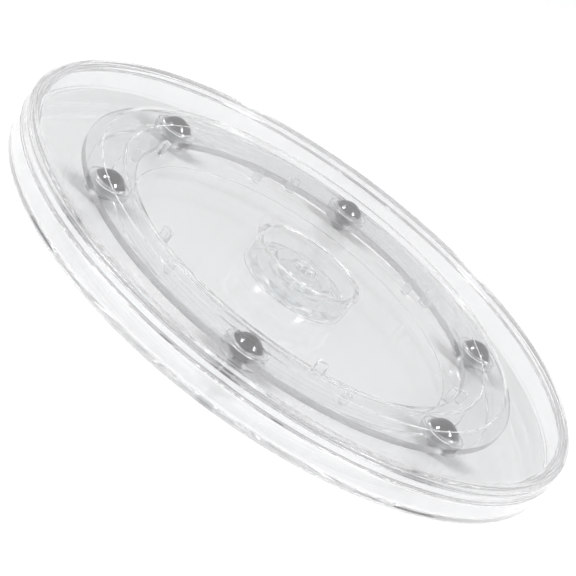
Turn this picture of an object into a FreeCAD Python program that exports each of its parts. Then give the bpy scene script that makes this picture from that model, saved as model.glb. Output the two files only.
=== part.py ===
"""Clear ball-bearing turntable display stand.

Two shallow clear discs stand one on the other with a thin seam between their
skirts.  Six steel balls in a clear cage ring carry the upper disc, and a split
snap pin at the centre keeps the two discs together.

Millimetres.  +Z is up along the turning axis, and the origin is the centre of
the base's underside, so z = 0 is the surface that the stand rests on.
Each sub-part is one closed solid in parts/NODE.step.
"""
import FreeCAD, Part
import math
import os

Vector = FreeCAD.Vector
AXIS = Vector(0, 0, 1)

# ---- driving dimensions ------------------------------------------------------

OUTER_R = 100.0          # both discs
TOTAL_HEIGHT = 14.2      # to the crest of the lip

# platter (upper disc)
LIP_HEIGHT = 0.8         # above the display surface
LIP_INNER_R = 95.3       # foot of the lip
LIP_CREST_R = 97.7       # highest line of the lip
LIP_SHOULDER = 1.3       # height of the outer rounding
PLATTER_THICK = 1.6
PLATTER_SKIRT = 2.2      # wall thickness
RING_R = (67.1, 74.75)   # edges of the shallow sunk ring in the display surface
RING_DEPTH = 0.1
RING_SLOPE = 1.0         # width of each sloping edge
PLATTER_DRAFT = 0.25     # how much the skirt leans in towards the crest
SEAM_Z = 9.0             # middle of the gap between the two skirts
SEAM_GAP = 0.5
EDGE_ROUND = 0.3         # outside edges at the seam
INSIDE_CORNER = 1.2      # where each skirt meets its disc

# base (lower disc)
BASE_THICK = 2.0
BASE_SKIRT = 2.2
BASE_DRAFT = 0.5         # how much the skirt leans in towards the foot
FOOT_ROUND = 1.6         # rounding of the lower outside edge
RECESS_R = 58.0          # shallow relief under the middle of the floor
RECESS_DEPTH = 0.4

# rolling track and balls
BALL_COUNT = 6
BALL_R = 5.5
BALL_CIRCLE_R = 70.5
FIRST_BALL_DEG = 30.0
BALL_GAP = 0.1           # free play above and below each ball
TRACK_R = (66.3, 74.7)   # flat-bottomed channels in the floor and the ceiling
TRACK_SLOPE = 0.3        # width of each channel's sloping side
BASE_TRACK_DEPTH = 0.9

# cage ring
CAGE_INNER_R = 61.0
CAGE_OUTER_R = 78.7
CAGE_Z = (6.8, 9.0)
POCKET_PLAY = 0.1        # radial play of a ball in its pocket
POCKET_BOSS_R = 7.1
POCKET_BOSS_Z = (4.4, 9.2)   # hangs below the ring, and stands just proud of it
POCKET_BOSS_ROUND = 0.2  # top and bottom outside edges
LEG_R = 1.4
LEG_CIRCLE_R = 62.6
LEG_FLOOR_GAP = 0.5
LEG_ROUND = 0.4          # lower end

# guide pegs under the platter, just inside the cage ring
PEG_CIRCLE_R = 59.3
PEG_RADIAL = 2.0
PEG_TANGENTIAL = 3.4
PEG_END_Z = 6.4
PEG_ROUND = 0.35         # upright edges
FIRST_PEG_DEG = 50.0

# hub
HUB_OUTER_R = (18.9, 18.3)   # at the platter, and at the free end
HUB_INNER_R = 17.0
HUB_FLOOR_GAP = 0.6
DISC_Z = (4.3, 6.0)          # flange of the hub disc
DISC_BOSS_R = 10.5
DISC_BOSS_TOP = 9.2
DISC_BOSS_BEVEL = 0.5
PIN_R = 4.0
PIN_RUNNING_CLEARANCE = 0.06
PIN_BARB_R = 4.7
PIN_BARB_GAP = 0.15
PIN_BARB_HEIGHT = 1.1
PIN_HEAD_R = 8.0
PIN_HEAD_THICK = 1.2
PIN_BEVEL = 0.3          # edge of the head, and of the barb
PIN_LEAD_IN = 0.5        # how far the tip narrows inside the shank
PIN_SLOT = 1.3
PIN_SLOT_FLOOR_Z = 4.0
BASE_BOSS_R = 14.4
BASE_BOSS_TOP = 3.8

OVERLAP = 0.5            # how far one shape runs into another before they are joined

# ---- worked-out heights ------------------------------------------------------

DISPLAY_Z = TOTAL_HEIGHT - LIP_HEIGHT
CEILING_Z = DISPLAY_Z - PLATTER_THICK
FLOOR_Z = BASE_THICK
BALL_Z = FLOOR_Z - BASE_TRACK_DEPTH + BALL_GAP + BALL_R
TRACK_CEILING_Z = BALL_Z + BALL_R + BALL_GAP
PLATTER_SKIRT_Z = SEAM_Z + SEAM_GAP / 2
BASE_SKIRT_Z = SEAM_Z - SEAM_GAP / 2


# ---- helpers -----------------------------------------------------------------

def rz(radius, height):
    """A point of a half-section, in the XZ plane."""
    return Vector(radius, 0, height)


def line(start, end):
    return Part.LineSegment(start, end).toShape()


def arc(start, middle, end):
    return Part.Arc(start, middle, end).toShape()


def revolve(edges):
    """Turn a closed half-section about Z into one solid."""
    face = Part.Face(Part.Wire(edges))
    solid = face.revolve(Vector(0, 0, 0), AXIS, 360)
    return solid if solid.ShapeType == "Solid" else Part.Solid(solid.Shells[0])


def crest_arc(crest, end):
    """Arc that leaves the crest level and bends down to the end point."""
    across, drop = end.x - crest.x, crest.z - end.z
    radius = (across ** 2 + drop ** 2) / (2 * drop)
    half = math.atan2(drop, abs(across))
    middle = rz(crest.x + math.copysign(radius * math.sin(half), across),
                crest.z - radius * (1 - math.cos(half)))
    return arc(crest, middle, end)


def quarter(start, end, corner):
    """Quarter round from start to end, bulging towards the corner point."""
    centre = start + end - corner
    middle = centre + (corner - centre) * math.sqrt(0.5)
    return arc(start, middle, end)


def polygon_edges(points):
    """Straight edges through the points, without the closing one."""
    return [line(a, b) for a, b in zip(points, points[1:])]


def tube(outer_r, inner_r, low, high):
    solid = Part.makeCylinder(outer_r, high - low, Vector(0, 0, low))
    return solid.cut(Part.makeCylinder(inner_r, high - low, Vector(0, 0, low)))


def around(radius, degrees, height=0.0):
    """A point on a circle about the turning axis."""
    angle = math.radians(degrees)
    return Vector(radius * math.cos(angle), radius * math.sin(angle), height)


def ring_channel(radii, slope, edge_z, bottom_z):
    """Ring that cuts a flat-bottomed channel with sloping sides, open at edge_z."""
    inner, outer = radii
    beyond = edge_z + math.copysign(OVERLAP, edge_z - bottom_z)
    return revolve(polygon_edges([
        rz(inner, beyond), rz(inner, edge_z), rz(inner + slope, bottom_z),
        rz(outer - slope, bottom_z), rz(outer, edge_z), rz(outer, beyond), rz(inner, beyond),
    ]))


def rounded_post(radius, low, high, low_round, high_round):
    """Upright round post about Z with rounded end edges."""
    edges = [line(rz(0, low), rz(radius - low_round, low))]
    edges.append(quarter(rz(radius - low_round, low), rz(radius, low + low_round), rz(radius, low)))
    edges.append(line(rz(radius, low + low_round), rz(radius, high - high_round)))
    edges.append(quarter(rz(radius, high - high_round), rz(radius - high_round, high), rz(radius, high)))
    edges += polygon_edges([rz(radius - high_round, high), rz(0, high), rz(0, low)])
    return revolve(edges)


def save(name, shape):
    """Write one closed solid as its own sub-part."""
    solid = shape.removeSplitter().Solids[0]
    if len(shape.Solids) != 1 or not solid.isValid():
        raise ValueError(f"{name} is not one valid solid")
    solid.exportStep(f"parts/{name}.step")


# ---- sub-parts ---------------------------------------------------------------

def platter_shell():
    """Display surface, rounded lip and skirt, as one half-section."""
    inner_r = OUTER_R - PLATTER_SKIRT
    ceiling_end = rz(inner_r - INSIDE_CORNER, CEILING_Z)
    wall_top = rz(inner_r, CEILING_Z - INSIDE_CORNER)
    wall_foot = rz(inner_r, PLATTER_SKIRT_Z)
    edge_in = rz(OUTER_R - EDGE_ROUND, PLATTER_SKIRT_Z)
    edge_out = rz(OUTER_R, PLATTER_SKIRT_Z + EDGE_ROUND)
    shoulder = rz(OUTER_R - PLATTER_DRAFT, TOTAL_HEIGHT - LIP_SHOULDER)
    crest = rz(LIP_CREST_R, TOTAL_HEIGHT)
    lip_foot = rz(LIP_INNER_R, DISPLAY_Z)
    edges = [
        line(rz(0, CEILING_Z), ceiling_end),
        quarter(ceiling_end, wall_top, rz(inner_r, CEILING_Z)),
        line(wall_top, wall_foot),
        line(wall_foot, edge_in),
        quarter(edge_in, edge_out, rz(OUTER_R, PLATTER_SKIRT_Z)),
        line(edge_out, shoulder),
        crest_arc(crest, shoulder),
        crest_arc(crest, lip_foot),
        line(lip_foot, rz(0, DISPLAY_Z)),
        line(rz(0, DISPLAY_Z), rz(0, CEILING_Z)),
    ]
    return revolve(edges)


def make_peg(index):
    """Guide peg that hangs from the platter just inside the cage ring."""
    peg = Part.makeBox(PEG_RADIAL, PEG_TANGENTIAL, CEILING_Z + OVERLAP - PEG_END_Z,
                       Vector(PEG_CIRCLE_R - PEG_RADIAL / 2, -PEG_TANGENTIAL / 2, PEG_END_Z))
    upright = [edge for edge in peg.Edges if abs(edge.tangentAt(0).z) > 0.9]
    peg = peg.makeFillet(PEG_ROUND, upright)
    peg.rotate(Vector(0, 0, 0), AXIS, FIRST_PEG_DEG + 360 / BALL_COUNT * index)
    return peg


def make_top_plate():
    plate = platter_shell().cut(ring_channel(TRACK_R, TRACK_SLOPE, CEILING_Z, TRACK_CEILING_Z))
    sunk_ring = (RING_R[0] - RING_SLOPE / 2, RING_R[1] + RING_SLOPE / 2)
    plate = plate.cut(ring_channel(sunk_ring, RING_SLOPE, DISPLAY_Z, DISPLAY_Z - RING_DEPTH))
    root_r, end_r = HUB_OUTER_R
    end_z = FLOOR_Z + HUB_FLOOR_GAP
    plate = plate.fuse(revolve(polygon_edges([
        rz(HUB_INNER_R, CEILING_Z), rz(HUB_INNER_R, end_z), rz(end_r, end_z),
        rz(root_r, CEILING_Z), rz(HUB_INNER_R, CEILING_Z),
    ])))
    for index in range(BALL_COUNT):
        plate = plate.fuse(make_peg(index))
    return plate


def base_shell():
    """Floor and skirt, as one half-section."""
    inner_r = OUTER_R - BASE_SKIRT
    foot_r = OUTER_R - BASE_DRAFT
    recess_end = rz(RECESS_R, RECESS_DEPTH)
    foot_in = rz(RECESS_R + RECESS_DEPTH, 0)
    round_start = rz(foot_r - FOOT_ROUND, 0)
    round_end = rz(foot_r, FOOT_ROUND)
    rim_out = rz(OUTER_R, BASE_SKIRT_Z - EDGE_ROUND)
    rim_top = rz(OUTER_R - EDGE_ROUND, BASE_SKIRT_Z)
    rim_in = rz(inner_r, BASE_SKIRT_Z)
    wall_foot = rz(inner_r, FLOOR_Z + INSIDE_CORNER)
    floor_end = rz(inner_r - INSIDE_CORNER, FLOOR_Z)
    edges = [
        line(rz(0, RECESS_DEPTH), recess_end),
        line(recess_end, foot_in),
        line(foot_in, round_start),
        quarter(round_start, round_end, rz(foot_r, 0)),
        line(round_end, rim_out),
        quarter(rim_out, rim_top, rz(OUTER_R, BASE_SKIRT_Z)),
        line(rim_top, rim_in),
        line(rim_in, wall_foot),
        quarter(wall_foot, floor_end, rz(inner_r, FLOOR_Z)),
        line(floor_end, rz(0, FLOOR_Z)),
        line(rz(0, FLOOR_Z), rz(0, RECESS_DEPTH)),
    ]
    return revolve(edges)


def make_base_plate():
    track = ring_channel(TRACK_R, TRACK_SLOPE, FLOOR_Z, FLOOR_Z - BASE_TRACK_DEPTH)
    plate = base_shell().cut(track)
    boss_foot = FLOOR_Z - OVERLAP
    plate = plate.fuse(Part.makeCylinder(BASE_BOSS_R, BASE_BOSS_TOP - boss_foot, Vector(0, 0, boss_foot)))
    plate = plate.cut(Part.makeCylinder(PIN_R, BASE_BOSS_TOP))
    return plate.cut(Part.makeCylinder(PIN_HEAD_R, RECESS_DEPTH + PIN_HEAD_THICK))


def ball_degrees(index):
    return FIRST_BALL_DEG + 360 / BALL_COUNT * index


def make_ball(index):
    return Part.makeSphere(BALL_R, around(BALL_CIRCLE_R, ball_degrees(index), BALL_Z), AXIS)


def make_cage():
    """Flat ring with a boss round each ball, and a leg midway between the balls."""
    ring = tube(CAGE_OUTER_R, CAGE_INNER_R, *CAGE_Z)
    leg_foot = FLOOR_Z + LEG_FLOOR_GAP
    for index in range(BALL_COUNT):
        boss = rounded_post(POCKET_BOSS_R, *POCKET_BOSS_Z, POCKET_BOSS_ROUND, POCKET_BOSS_ROUND)
        boss.translate(around(BALL_CIRCLE_R, ball_degrees(index)))
        leg = rounded_post(LEG_R, leg_foot, CAGE_Z[0] + OVERLAP, LEG_ROUND, LEG_ROUND)
        leg.translate(around(LEG_CIRCLE_R, ball_degrees(index) + 180 / BALL_COUNT))
        ring = ring.fuse(boss).fuse(leg)
    for index in range(BALL_COUNT):
        centre = around(BALL_CIRCLE_R, ball_degrees(index), BALL_Z)
        ring = ring.cut(Part.makeSphere(BALL_R + POCKET_PLAY, centre, AXIS))
    return ring


def make_hub_disc():
    low, flange_top = DISC_Z
    bore_r = PIN_R + PIN_RUNNING_CLEARANCE
    edges = polygon_edges([
        rz(bore_r, low), rz(HUB_INNER_R, low), rz(HUB_INNER_R, flange_top),
        rz(DISC_BOSS_R, flange_top), rz(DISC_BOSS_R, DISC_BOSS_TOP - DISC_BOSS_BEVEL),
        rz(DISC_BOSS_R - DISC_BOSS_BEVEL, DISC_BOSS_TOP), rz(bore_r, DISC_BOSS_TOP), rz(bore_r, low),
    ])
    return revolve(edges)


def make_pivot_pin():
    barb_z = DISC_BOSS_TOP + PIN_BARB_GAP
    top_z = barb_z + PIN_BARB_HEIGHT
    head_top = RECESS_DEPTH + PIN_HEAD_THICK
    pin = revolve(polygon_edges([
        rz(0, RECESS_DEPTH), rz(PIN_HEAD_R - PIN_BEVEL, RECESS_DEPTH),
        rz(PIN_HEAD_R, RECESS_DEPTH + PIN_BEVEL), rz(PIN_HEAD_R, head_top),
        rz(PIN_R, head_top), rz(PIN_R, barb_z), rz(PIN_BARB_R, barb_z),
        rz(PIN_BARB_R, barb_z + PIN_BEVEL), rz(PIN_R - PIN_LEAD_IN, top_z),
        rz(0, top_z), rz(0, RECESS_DEPTH),
    ]))
    for degrees in (0, 90):
        slot = Part.makeBox(4 * PIN_R, PIN_SLOT, top_z,
                            Vector(-2 * PIN_R, -PIN_SLOT / 2, PIN_SLOT_FLOOR_Z))
        slot.rotate(Vector(0, 0, 0), AXIS, degrees)
        pin = pin.cut(slot)
    return pin


def main():
    os.makedirs("parts", exist_ok=True)
    save("top_plate", make_top_plate())
    save("base_plate", make_base_plate())
    save("ball_cage", make_cage())
    save("hub_disc", make_hub_disc())
    save("pivot_pin", make_pivot_pin())
    for index in range(BALL_COUNT):
        save(f"ball_{index + 1}", make_ball(index))


main()
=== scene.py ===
"""Looks of the clear ball-bearing turntable display stand, in metres, in the CAD frame."""
import bpy
import math
from mathutils import Matrix, Vector


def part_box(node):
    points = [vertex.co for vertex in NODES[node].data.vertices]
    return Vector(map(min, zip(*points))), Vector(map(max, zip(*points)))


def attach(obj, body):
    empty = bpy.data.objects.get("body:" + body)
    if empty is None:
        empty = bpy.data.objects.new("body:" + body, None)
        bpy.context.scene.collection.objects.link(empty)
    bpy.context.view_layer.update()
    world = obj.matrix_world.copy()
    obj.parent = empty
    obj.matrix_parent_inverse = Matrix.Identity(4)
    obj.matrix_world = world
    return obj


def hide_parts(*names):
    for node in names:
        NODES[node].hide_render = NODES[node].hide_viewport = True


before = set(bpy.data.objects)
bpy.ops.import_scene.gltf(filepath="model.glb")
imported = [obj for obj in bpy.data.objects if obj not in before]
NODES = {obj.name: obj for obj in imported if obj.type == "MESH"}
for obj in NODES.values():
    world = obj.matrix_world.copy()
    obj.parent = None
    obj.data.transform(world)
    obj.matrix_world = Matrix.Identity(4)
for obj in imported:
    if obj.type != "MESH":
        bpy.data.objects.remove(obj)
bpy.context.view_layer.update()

MM = 0.001

# heights and radii of the finer shells, in metres; the outline comes from the CAD boxes
RIM_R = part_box("top_plate")[1].x
CREST_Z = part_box("top_plate")[1].z
HUB_END_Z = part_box("top_plate")[0].z
BASE_RIM_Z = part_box("base_plate")[1].z
CAGE_OUTER_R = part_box("ball_cage")[1].x
BALL_TOP_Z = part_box("ball_2")[1].z
BALL_FOOT_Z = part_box("ball_2")[0].z
BALL_GAP = 0.1 * MM

# platter
LIP_HEIGHT = 0.8 * MM
LIP_FOOT_R = 95.3 * MM
CREST_INNER_R = 97.1 * MM
CREST_OUTER_R = 98.2 * MM
SHOULDER_R = 99.75 * MM
SHOULDER_DROP = 1.3 * MM
PLATTER_THICK = 1.6 * MM
WALL_R = 97.8 * MM          # inside of both skirts
SEAM_GAP = 0.5 * MM
DISPLAY_Z = CREST_Z - LIP_HEIGHT
CEILING_Z = DISPLAY_Z - PLATTER_THICK
LIP_FOOT_ROUND = 0.9 * MM
CREST_INNER_ROUND = 0.8 * MM
CREST_OUTER_ROUND = 1.2 * MM
SHOULDER_ROUND = 0.9 * MM
SEAM_OUTER_ROUND = 0.3 * MM  # both skirts, at the seam
SEAM_INNER_ROUND = 0.2 * MM
INSIDE_CORNER = 1.0 * MM     # where each skirt meets its disc

SUNK_RING_R = (67.1 * MM, 74.75 * MM)
SUNK_RING_DEPTH = 0.1 * MM
SUNK_RING_SLOPE = 1.0 * MM
SUNK_RING_ROUND = 1.0 * MM

TRACK_R = (66.3 * MM, 74.7 * MM)
TRACK_SLOPE = 0.3 * MM
TRACK_ROUND = 0.12 * MM

HUB_ROOT_R = 18.9 * MM
HUB_END_R = 18.3 * MM
HUB_BORE_R = 17.04 * MM     # hairline round the hub disc
HUB_ROUND = 0.3 * MM

# base
FLOOR_Z = 2.0 * MM
FOOT_R = 99.5 * MM
FOOT_ROUND = 1.6 * MM
RELIEF_R = 58.0 * MM
RELIEF_DEPTH = 0.4 * MM
RELIEF_ROUND = 0.1 * MM
BOSS_R = 14.4 * MM
BOSS_TOP_Z = 3.8 * MM
BOSS_ROUND = 0.3 * MM
PIN_BORE_R = 4.04 * MM      # hairline round the pin
PIN_HEAD_BORE_R = 8.04 * MM
PIN_HEAD_BORE_Z = 1.64 * MM
BORE_ROUND = 0.05 * MM

# guide pegs
PEG_COUNT = 6
FIRST_PEG_DEG = 50.0
PEG_CIRCLE_R = 59.3 * MM
PEG_SIZE = (2.0 * MM, 3.4 * MM)
PEG_END_Z = 6.4 * MM
PEG_ROUND = 0.35 * MM
PEG_ROUND_STEPS = 4
PEG_JOINT = 0.02 * MM       # hairline between each peg and the disc

# cage
CAGE_INNER_R = 61.0 * MM
WALL_TOLERANCE = 0.15 * MM  # how near the cage's side walls a point counts as wall

# fineness of the lathed shells
TURN_STEPS = 576
FILLET_STEP = math.radians(7.5)


# ---- materials ---------------------------------------------------------------

def new_material(name):
    material = bpy.data.materials.new(name)
    material.use_nodes = True
    tree = material.node_tree
    shader = tree.nodes["Principled BSDF"]
    return material, tree, shader


def noise(tree, scale, detail=3.0):
    """Cloudy 0-1 pattern in the piece's own coordinates; scale is in clouds per metre."""
    coords = tree.nodes.new("ShaderNodeTexCoord")
    texture = tree.nodes.new("ShaderNodeTexNoise")
    texture.inputs["Scale"].default_value = scale
    texture.inputs["Detail"].default_value = detail
    tree.links.new(coords.outputs["Object"], texture.inputs["Vector"])
    return texture.outputs["Fac"]


def spread(tree, factor, low, high):
    """Map a 0-1 factor onto the range from low to high."""
    made = tree.nodes.new("ShaderNodeMapRange")
    made.inputs["To Min"].default_value = low
    made.inputs["To Max"].default_value = high
    tree.links.new(factor, made.inputs["Value"])
    return made.outputs["Result"]


def arithmetic(tree, operation, first, second):
    """Math node; each operand is a socket or a number."""
    made = tree.nodes.new("ShaderNodeMath")
    made.operation = operation
    for socket, value in zip(made.inputs, (first, second)):
        if isinstance(value, (int, float)):
            socket.default_value = value
        else:
            tree.links.new(value, socket)
    return made.outputs[0]


def blend_colors(tree, factor, first, second):
    """Mix two colours; each is a socket or an (r, g, b) triple."""
    made = tree.nodes.new("ShaderNodeMix")
    made.data_type = "RGBA"
    tree.links.new(factor, made.inputs[MIX_FACTOR])
    for place, value in ((MIX_FIRST, first), (MIX_SECOND, second)):
        if isinstance(value, tuple):
            made.inputs[place].default_value = (*value, 1.0)
        else:
            tree.links.new(value, made.inputs[place])
    return made.outputs[MIX_RESULT]


def ripple(tree, shader, height, depth):
    """Faint unevenness of a lapped surface."""
    bump = tree.nodes.new("ShaderNodeBump")
    bump.inputs["Strength"].default_value = 1.0
    bump.inputs["Distance"].default_value = depth
    tree.links.new(height, bump.inputs["Height"])
    tree.links.new(bump.outputs["Normal"], shader.inputs["Normal"])


def upright(tree):
    """1 on faces that stand upright, 0 on level ones."""
    place = tree.nodes.new("ShaderNodeNewGeometry")
    split = tree.nodes.new("ShaderNodeSeparateXYZ")
    tree.links.new(place.outputs["Normal"], split.inputs[0])
    tilt = arithmetic(tree, "ABSOLUTE", split.outputs["Z"], 0.0)
    return arithmetic(tree, "LESS_THAN", tilt, UPRIGHT_NORMAL_Z)


def ring_side_shade_mask(tree):
    """1 on the inner and outer side walls of the cage ring, where grey shade is painted on, 0
    elsewhere.
    """
    place = tree.nodes.new("ShaderNodeNewGeometry")
    flat = tree.nodes.new("ShaderNodeVectorMath")
    flat.operation = "MULTIPLY"
    flat.inputs[1].default_value = (1.0, 1.0, 0.0)   # leaves the height out
    length = tree.nodes.new("ShaderNodeVectorMath")
    length.operation = "LENGTH"
    tree.links.new(place.outputs["Position"], flat.inputs[0])
    tree.links.new(flat.outputs["Vector"], length.inputs[0])
    radius = length.outputs["Value"]
    outside = arithmetic(tree, "GREATER_THAN", radius, CAGE_OUTER_R - WALL_TOLERANCE)
    inside = arithmetic(tree, "LESS_THAN", radius, CAGE_INNER_R + WALL_TOLERANCE)
    return arithmetic(tree, "ADD", outside, inside)


def clear_plastic(name, tint, shade, matt_walls_and_painted_shade=False):
    """Water-clear polystyrene that passes the lamps' light on to the floor.

    Optionally, upright faces are matt and the sides of the cage ring carry a painted grey shade.
    """
    material, tree, shader = new_material(name)
    shader.inputs["Transmission Weight"].default_value = 1.0
    shader.inputs["IOR"].default_value = PLASTIC_IOR
    tone = blend_colors(tree, noise(tree, TINT_CLOUDS), tint, shade)
    shader.inputs["Roughness"].default_value = 0.0
    if matt_walls_and_painted_shade:
        # painted shade: grey painted onto the side walls of the cage ring
        tone = blend_colors(tree, ring_side_shade_mask(tree), tone, WALL_PAINTED_SHADE)
        haze = arithmetic(tree, "MULTIPLY", upright(tree), WALL_ROUGHNESS)
        tree.links.new(haze, shader.inputs["Roughness"])
    tree.links.new(tone, shader.inputs["Base Color"])
    through = tree.nodes.new("ShaderNodeBsdfTransparent")
    through.inputs["Color"].default_value = (SHADOW_PASS, SHADOW_PASS, SHADOW_PASS, 1.0)
    mix = tree.nodes.new("ShaderNodeMixShader")
    path = tree.nodes.new("ShaderNodeLightPath")
    tree.links.new(path.outputs["Is Shadow Ray"], mix.inputs[0])
    tree.links.new(shader.outputs[0], mix.inputs[1])
    tree.links.new(through.outputs[0], mix.inputs[2])
    tree.links.new(mix.outputs[0], tree.nodes["Material Output"].inputs["Surface"])
    return material


def polished_steel(name):
    material, tree, shader = new_material(name)
    shader.inputs["Metallic"].default_value = 1.0
    # painted shade: the steel colour is darkened to stand in for the dark surroundings the balls
    # reflect
    tone = blend_colors(tree, noise(tree, STEEL_CLOUDS), STEEL_PAINTED_SHADE_DARK, STEEL_PAINTED_SHADE_LIGHT)
    gloss = spread(tree, noise(tree, GLOSS_CLOUDS), *STEEL_ROUGHNESS)
    tree.links.new(tone, shader.inputs["Base Color"])
    tree.links.new(gloss, shader.inputs["Roughness"])
    ripple(tree, shader, noise(tree, LAPPING_CLOUDS, LAPPING_DETAIL), LAPPING_DEPTH)
    return material


def dress(name, material):
    piece = NODES[name]
    piece.data.materials.clear()
    piece.data.materials.append(material)


PLASTIC_IOR = 1.55
PLASTIC_TINT = (0.985, 0.99, 0.992)
SHELL_SHADE = (0.975, 0.982, 0.986)
SMALL_SHADE = (0.97, 0.978, 0.982)
TINT_CLOUDS = 18.0
SHADOW_PASS = 0.985
WALL_ROUGHNESS = 0.25
# painted shade: grey painted onto the cage ring's side walls in place of their own shading
WALL_PAINTED_SHADE = (0.64, 0.64, 0.65)
UPRIGHT_NORMAL_Z = 0.5

# painted shade: steel colour set darker than real steel to stand in for dark reflected
# surroundings; the two ends differ at random
STEEL_PAINTED_SHADE_DARK = (0.235, 0.235, 0.24)
STEEL_PAINTED_SHADE_LIGHT = (0.27, 0.27, 0.275)
STEEL_ROUGHNESS = (0.03, 0.10)
STEEL_CLOUDS = 500.0
GLOSS_CLOUDS = 1800.0
LAPPING_CLOUDS = 2600.0
LAPPING_DETAIL = 2.0
LAPPING_DEPTH = 0.3e-6

# sockets of the Mix node when it mixes colours
MIX_FACTOR, MIX_FIRST, MIX_SECOND, MIX_RESULT = 0, 6, 7, 2

shell_plastic = clear_plastic("clear_polystyrene", PLASTIC_TINT, SHELL_SHADE)
small_plastic = clear_plastic("clear_small_mouldings", PLASTIC_TINT, SMALL_SHADE)
cage_plastic = clear_plastic("clear_cage_plastic", PLASTIC_TINT, SMALL_SHADE, matt_walls_and_painted_shade=True)
ball_steel = polished_steel("polished_bearing_steel")

dress("top_plate", shell_plastic)
dress("base_plate", shell_plastic)
dress("ball_cage", cage_plastic)
dress("hub_disc", small_plastic)
dress("pivot_pin", small_plastic)
for node_name in NODES:
    if node_name.startswith("ball_") and node_name != "ball_cage":
        dress(node_name, ball_steel)


# ---- finer shells ------------------------------------------------------------

def outline(corners):
    """Round the corners (r, z, fillet) of a half-section, listed from the top outwards and down.

    Corners on the axis stay as they are.  Returns points with outward normals (r, z, nr, nz).
    """
    points = []
    for index, (r, z, fillet) in enumerate(corners):
        here = Vector((r, z))
        if r == 0:
            points.append((r, z, 0.0, 1.0 if index == 0 else -1.0))
            continue
        before = (here - Vector(corners[index - 1][:2])).normalized()
        after = (Vector(corners[(index + 1) % len(corners)][:2]) - here).normalized()
        turn = math.atan2(before.x * after.y - before.y * after.x, before.dot(after))
        side = math.copysign(1.0, turn)
        start = here - before * abs(fillet * math.tan(turn / 2))
        centre = start + Vector((-before.y, before.x)) * fillet * side
        steps = max(2, math.ceil(abs(turn) / FILLET_STEP))
        for step in range(steps + 1):
            angle = turn * step / steps
            along = Vector((before.x * math.cos(angle) - before.y * math.sin(angle),
                            before.x * math.sin(angle) + before.y * math.cos(angle)))
            spot = centre + Vector((along.y, -along.x)) * fillet * side
            points.append((spot.x, spot.y, -along.y, along.x))
    return points


def finish_piece(name, verts, faces, normals, material, body):
    mesh = bpy.data.meshes.new(name)
    mesh.from_pydata(verts, [], faces)
    mesh.polygons.foreach_set("use_smooth", [True] * len(mesh.polygons))
    mesh.update()
    if normals:
        mesh.normals_split_custom_set_from_vertices(normals)
    mesh.materials.append(material)
    piece = bpy.data.objects.new(name, mesh)
    bpy.context.scene.collection.objects.link(piece)
    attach(piece, body)
    return piece


def lathe(name, corners, material, body):
    """Turn a half-section about the axis into a closed, finely faced solid.

    A section that starts off the axis is closed back on its first corner.
    """
    verts, normals, faces, rows = [], [], [], []
    for r, z, nr, nz in outline(corners):
        if r == 0:
            rows.append([len(verts)] * TURN_STEPS)
            verts.append((0.0, 0.0, z))
            normals.append((0.0, 0.0, nz))
            continue
        rows.append(range(len(verts), len(verts) + TURN_STEPS))
        for step in range(TURN_STEPS):
            angle = 2 * math.pi * step / TURN_STEPS
            c, s = math.cos(angle), math.sin(angle)
            verts.append((r * c, r * s, z))
            normals.append((nr * c, nr * s, nz))
    if corners[0][0] > 0:
        rows.append(rows[0])
    for here, after in zip(rows, rows[1:]):
        for step in range(TURN_STEPS):
            beside = (step + 1) % TURN_STEPS
            ring = (here[step], after[step], after[beside], here[beside])
            face = list(dict.fromkeys(ring))
            if len(face) > 2:
                faces.append(face)
    return finish_piece(name, verts, faces, normals, material, body)


def channel(radii, slope, edge_z, bottom_z, fillet):
    """Corners of a flat-bottomed ring channel, from the inside outwards."""
    inner, outer = radii
    return [(inner, edge_z, fillet), (inner + slope, bottom_z, fillet),
            (outer - slope, bottom_z, fillet), (outer, edge_z, fillet)]


def make_platter():
    """Lipped disc with its sunk ring, the track above the balls, and the hub."""
    sunk = (SUNK_RING_R[0] - SUNK_RING_SLOPE / 2, SUNK_RING_R[1] + SUNK_RING_SLOPE / 2)
    corners = [(0, DISPLAY_Z, 0)]
    sunk_z = DISPLAY_Z - SUNK_RING_DEPTH
    corners += channel(sunk, SUNK_RING_SLOPE, DISPLAY_Z, sunk_z, SUNK_RING_ROUND)
    corners += [
        (LIP_FOOT_R, DISPLAY_Z, LIP_FOOT_ROUND),
        (CREST_INNER_R, CREST_Z, CREST_INNER_ROUND),
        (CREST_OUTER_R, CREST_Z, CREST_OUTER_ROUND),
        (SHOULDER_R, CREST_Z - SHOULDER_DROP, SHOULDER_ROUND),
        (RIM_R, BASE_RIM_Z + SEAM_GAP, SEAM_OUTER_ROUND),
        (WALL_R, BASE_RIM_Z + SEAM_GAP, SEAM_INNER_ROUND),
        (WALL_R, CEILING_Z, INSIDE_CORNER),
    ]
    track = channel(TRACK_R, TRACK_SLOPE, CEILING_Z, BALL_TOP_Z + BALL_GAP, TRACK_ROUND)
    corners += reversed(track)
    corners += [
        (HUB_ROOT_R, CEILING_Z, HUB_ROUND),
        (HUB_END_R, HUB_END_Z, HUB_ROUND),
        (HUB_BORE_R, HUB_END_Z, HUB_ROUND),
        (HUB_BORE_R, CEILING_Z, HUB_ROUND),
        (0, CEILING_Z, 0),
    ]
    shell = lathe("platter_shell", corners, shell_plastic, "platter")
    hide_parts("top_plate")


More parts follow.
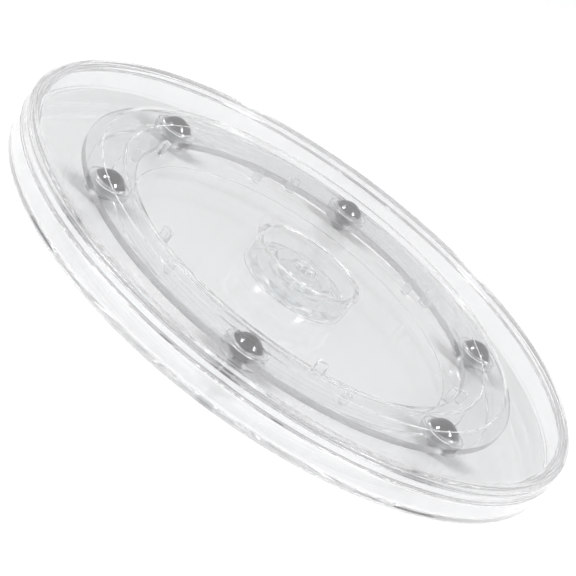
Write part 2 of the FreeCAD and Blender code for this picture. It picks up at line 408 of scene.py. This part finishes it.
def make_base():
    """Floor with the track under the balls, the pin's boss, and the skirt."""
    corners = [
        (PIN_BORE_R, BOSS_TOP_Z, BORE_ROUND),
        (BOSS_R, BOSS_TOP_Z, BOSS_ROUND),
        (BOSS_R, FLOOR_Z, BOSS_ROUND),
    ]
    corners += channel(TRACK_R, TRACK_SLOPE, FLOOR_Z, BALL_FOOT_Z - BALL_GAP, TRACK_ROUND)
    corners += [
        (WALL_R, FLOOR_Z, INSIDE_CORNER),
        (WALL_R, BASE_RIM_Z, SEAM_INNER_ROUND),
        (RIM_R, BASE_RIM_Z, SEAM_OUTER_ROUND),
        (FOOT_R, 0, FOOT_ROUND),
        (RELIEF_R + RELIEF_DEPTH, 0, RELIEF_ROUND),
        (RELIEF_R, RELIEF_DEPTH, RELIEF_ROUND),
        (PIN_HEAD_BORE_R, RELIEF_DEPTH, BORE_ROUND),
        (PIN_HEAD_BORE_R, PIN_HEAD_BORE_Z, BORE_ROUND),
        (PIN_BORE_R, PIN_HEAD_BORE_Z, BORE_ROUND),
    ]
    shell = lathe("base_shell", corners, shell_plastic, "base")
    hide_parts("base_plate")


def make_peg(index):
    """Rounded guide peg under the platter."""
    degrees = FIRST_PEG_DEG + 360 / PEG_COUNT * index
    bpy.ops.mesh.primitive_cube_add(size=1.0)
    peg = bpy.context.object
    peg.name = f"guide_peg_{index + 1}"
    top = CEILING_Z - PEG_JOINT
    shape = Matrix.Diagonal((*PEG_SIZE, top - PEG_END_Z, 1.0))
    shift = Matrix.Translation((PEG_CIRCLE_R, 0, (top + PEG_END_Z) / 2))
    peg.data.transform(Matrix.Rotation(math.radians(degrees), 4, "Z") @ shift @ shape)
    bevel = peg.modifiers.new("rounding", "BEVEL")
    bevel.width = PEG_ROUND
    bevel.segments = PEG_ROUND_STEPS
    bevel.limit_method = "ANGLE"
    for face in peg.data.polygons:
        face.use_smooth = True
    peg.data.materials.append(small_plastic)
    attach(peg, "platter")


make_platter()
make_base()
for peg_index in range(PEG_COUNT):
    make_peg(peg_index)


# ---- studio --------------------------------------------------------------------

FLOOR_SIZE = 8.0
FLOOR_DROP = 0.2 * MM
FLOOR_TONE = (0.93, 0.93, 0.93)
FLOOR_ROUGHNESS = 0.9

WORLD_LEVEL = 0.525
WORLD_BACK_START = 0.1      # Y of the direction where the back begins to lighten
WORLD_BACK_END = 0.75
WORLD_BACK_GAIN = 0.05

BOX_SIZE = (0.7, 1.0)
BOX_POWER = 20.5
BOX_PLACE = (1.26, -0.54, 1.46)
CARD_SIZE = (0.45, 0.6)
CARD_POWER = 10.0
CARD_DISTANCE = 0.9         # of the way to the soft box
BACK_PANEL_SIZE = (1.6, 0.6)
BACK_PANEL_POWER = 6.5
BACK_PANEL_PLACE = (0.0, 1.3, 0.9)
BACK_PANEL_AIM = (0.0, 1.1, 0.0)

VIEW_ELEVATION = math.radians(22.13)
VIEW_ROLL = math.radians(36.84)
VIEW_DISTANCE = 6.229 * RIM_R
SENSOR_WIDTH = 36.0
LENS = 125.0
LENS_SHIFT = (0.0032, 0.0106)

LIGHT_BOUNCES = 128         # light trapped in the thin discs bounces many times before it leaves
TRANSPARENT_BOUNCES = 24


def make_floor():
    bpy.ops.mesh.primitive_plane_add(size=FLOOR_SIZE, location=(0, 0, -FLOOR_DROP))
    floor = bpy.context.object
    floor.name = "floor"
    material, tree, shader = new_material("pale_floor")
    shader.inputs["Base Color"].default_value = (*FLOOR_TONE, 1.0)
    shader.inputs["Roughness"].default_value = FLOOR_ROUGHNESS
    shader.inputs["Specular IOR Level"].default_value = 0.0
    floor.data.materials.append(material)


def soft_box(name, place, size, power, aim=(0, 0, 0)):
    light = bpy.data.lights.new(name, "AREA")
    light.shape = "RECTANGLE"
    light.size, light.size_y = size
    light.energy = power
    lamp = bpy.data.objects.new(name, light)
    bpy.context.scene.collection.objects.link(lamp)
    lamp.location = place
    lamp.rotation_euler = (Vector(aim) - Vector(place)).to_track_quat("-Z", "Y").to_euler()
    return lamp


def fill_only(lamp):
    """Keep a lamp out of reflections; it only lights the floor."""
    lamp.visible_camera = False
    lamp.visible_glossy = False
    lamp.visible_transmission = False


def make_lamps():
    """A soft box with a smaller bright card in front of it on each side, and a low panel behind."""
    for side, sign in (("right", 1), ("left", -1)):
        place = Vector((sign * BOX_PLACE[0], *BOX_PLACE[1:]))
        fill_only(soft_box(f"{side}_box", place, BOX_SIZE, BOX_POWER))
        soft_box(f"{side}_card", place * CARD_DISTANCE, CARD_SIZE, CARD_POWER)
    fill_only(soft_box("back_panel", BACK_PANEL_PLACE, BACK_PANEL_SIZE, BACK_PANEL_POWER,
                       BACK_PANEL_AIM))


def make_world():
    """Even light tent, a little lighter behind the stand; only the lamps light the floor."""
    world = bpy.data.worlds.new("studio")
    bpy.context.scene.world = world
    world.use_nodes = True
    world.cycles_visibility.diffuse = False
    tree = world.node_tree
    split = tree.nodes.new("ShaderNodeSeparateXYZ")
    tree.links.new(tree.nodes.new("ShaderNodeTexCoord").outputs["Generated"], split.inputs[0])
    level = tree.nodes.new("ShaderNodeMapRange")
    level.interpolation_type = "SMOOTHSTEP"
    level.inputs["From Min"].default_value = WORLD_BACK_START
    level.inputs["From Max"].default_value = WORLD_BACK_END
    level.inputs["To Min"].default_value = WORLD_LEVEL
    level.inputs["To Max"].default_value = WORLD_LEVEL + WORLD_BACK_GAIN
    tree.links.new(split.outputs["Y"], level.inputs["Value"])
    background = tree.nodes["Background"]
    background.inputs["Color"].default_value = (1.0, 1.0, 1.0, 1.0)
    tree.links.new(level.outputs["Result"], background.inputs["Strength"])


def make_camera():
    back = Vector((0.0, -math.cos(VIEW_ELEVATION), math.sin(VIEW_ELEVATION)))
    data = bpy.data.cameras.new("camera")
    data.sensor_width = SENSOR_WIDTH
    data.lens = LENS
    data.shift_x, data.shift_y = LENS_SHIFT
    camera = bpy.data.objects.new("camera", data)
    bpy.context.scene.collection.objects.link(camera)
    camera.location = back * VIEW_DISTANCE
    turn = (-back).to_track_quat("-Z", "Y").to_matrix() @ Matrix.Rotation(VIEW_ROLL, 3, "Z")
    camera.rotation_euler = turn.to_euler()
    bpy.context.scene.camera = camera


def set_light_paths():
    cycles = bpy.context.scene.cycles
    cycles.max_bounces = LIGHT_BOUNCES
    cycles.transmission_bounces = LIGHT_BOUNCES
    cycles.glossy_bounces = LIGHT_BOUNCES
    cycles.transparent_max_bounces = TRANSPARENT_BOUNCES
    cycles.caustics_reflective = False
    cycles.caustics_refractive = False


make_floor()
make_world()
make_lamps()
make_camera()
set_light_paths()
bpy.context.scene.view_settings.view_transform = "Standard"
